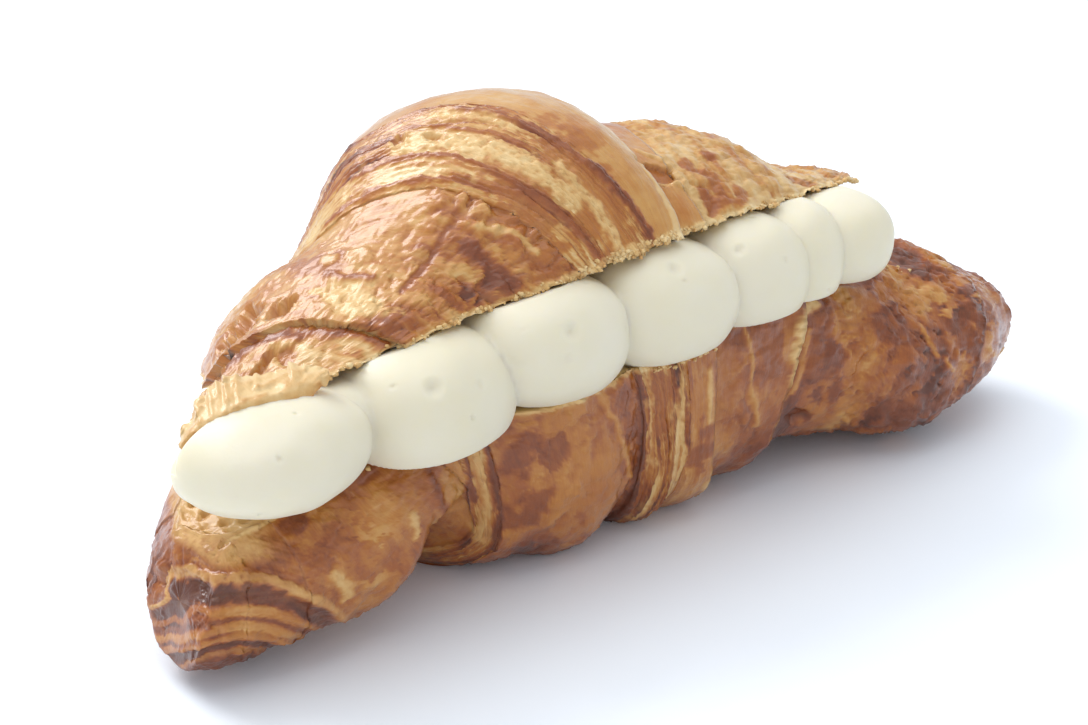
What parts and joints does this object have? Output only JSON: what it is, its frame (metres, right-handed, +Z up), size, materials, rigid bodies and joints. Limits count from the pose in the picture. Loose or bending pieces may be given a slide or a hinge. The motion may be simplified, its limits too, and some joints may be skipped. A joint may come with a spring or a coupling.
{
  "type": "cream-filled croissant",
  "caption": "Crescent roll of laminated pastry cut along its length, its lid leaning back over a row of piped bulbs of white cream.",
  "frame": {"origin": "centre of the bottom of the bounding box, on the surface the croissant rests on", "axes": "+X along the roll from the near tip to the far tip, -Y toward the open side with the cream, +Z up"},
  "size_m": [0.1894, 0.0808, 0.076],
  "materials": {
    "base_crust": "egg-glazed baked pastry, satin",
    "lid_crust": "egg-glazed baked pastry, satin",
    "cream": "smooth piped cream, soft sheen"
  },
  "bodies": {
    "root": {"croissant_base": "base_crust", "croissant_lid": "lid_crust", "cream": "cream"}
  },
  "joints": []
}
